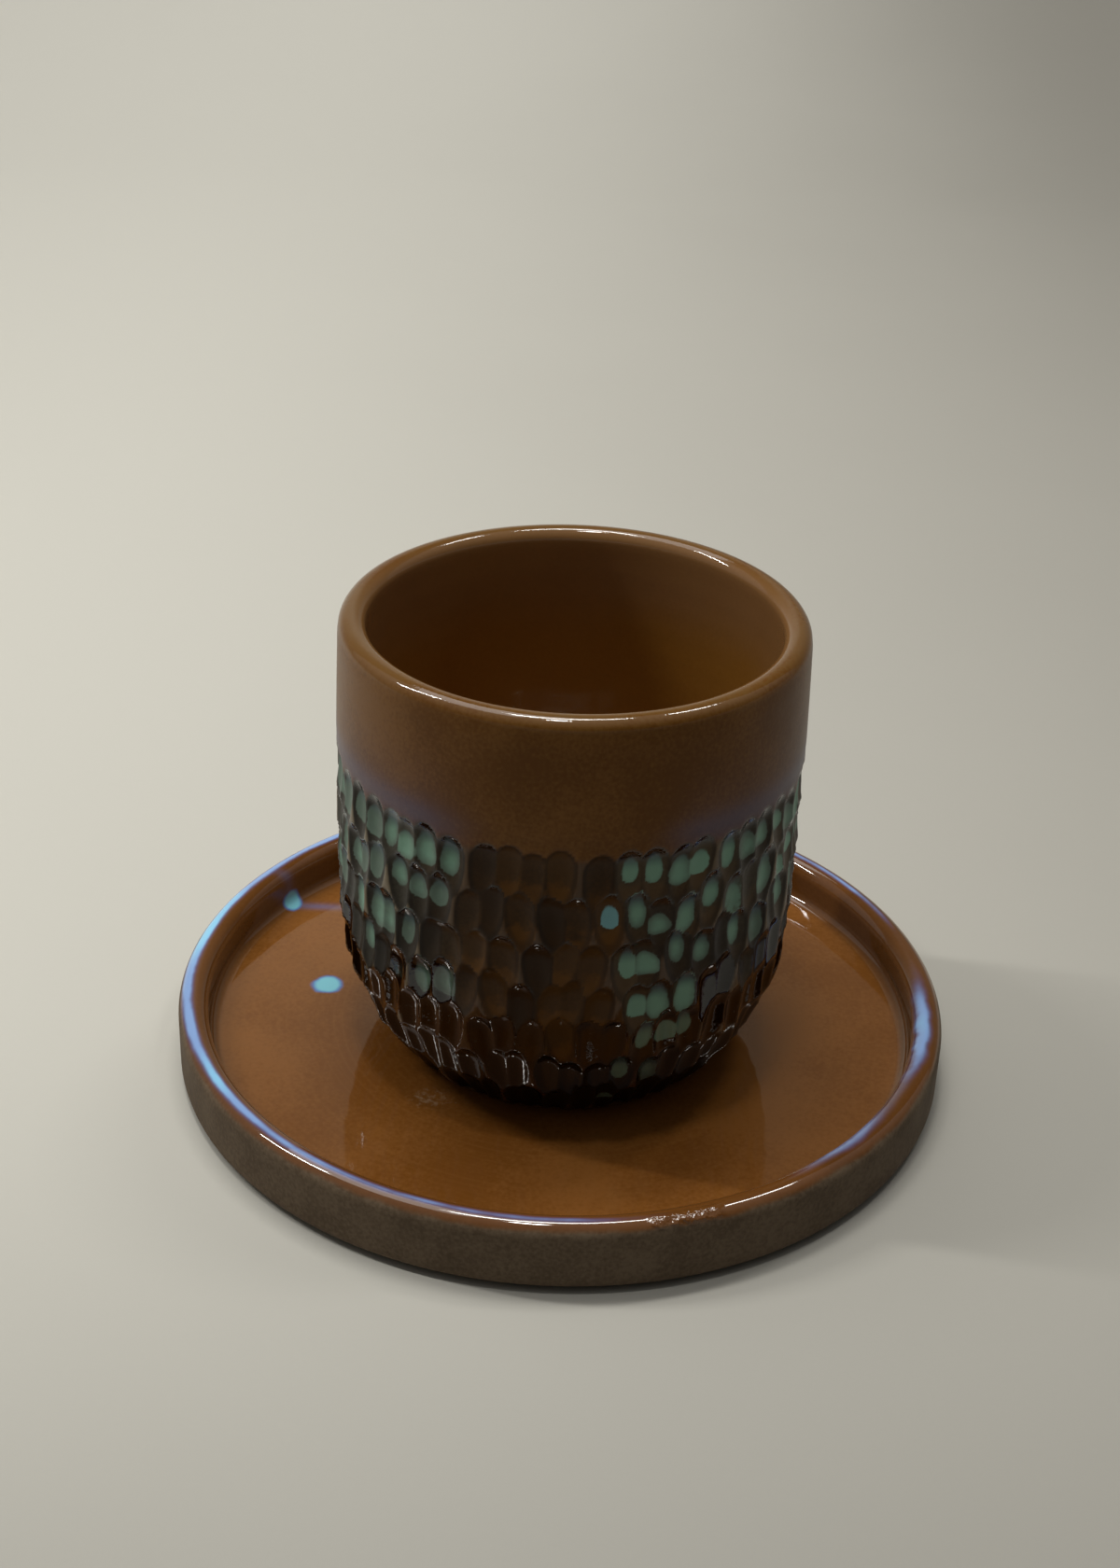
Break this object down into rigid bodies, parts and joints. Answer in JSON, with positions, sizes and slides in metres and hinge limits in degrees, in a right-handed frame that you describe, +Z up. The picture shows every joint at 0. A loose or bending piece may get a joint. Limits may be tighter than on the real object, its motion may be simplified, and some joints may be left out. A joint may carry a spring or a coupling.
{
  "type": "cup and saucer",
  "caption": "Handleless stoneware coffee cup, carved with staggered gouge cuts below a plain band, standing loose on a round saucer with a raised rim.",
  "frame": {"origin": "middle of the saucer's foot, on the table", "axes": "+Z up along the axis of the cup and saucer, -Y towards the front"},
  "size_m": [0.12, 0.12, 0.0754],
  "materials": {
    "saucer_glaze": "glossy brown glaze with a blue rim, bare grey-brown clay outside",
    "cup_glaze": "glossy brown glaze, green where it pools in the carving"
  },
  "bodies": {
    "saucer": {"saucer": "saucer_glaze"},
    "cup": {"cup": "cup_glaze"}
  },
  "joints": [
    {"name": "cup_lift", "type": "slide", "parent": "saucer", "child": "cup", "axis": [0, 0, 1], "range_m": [0, 0.08]}
  ]
}
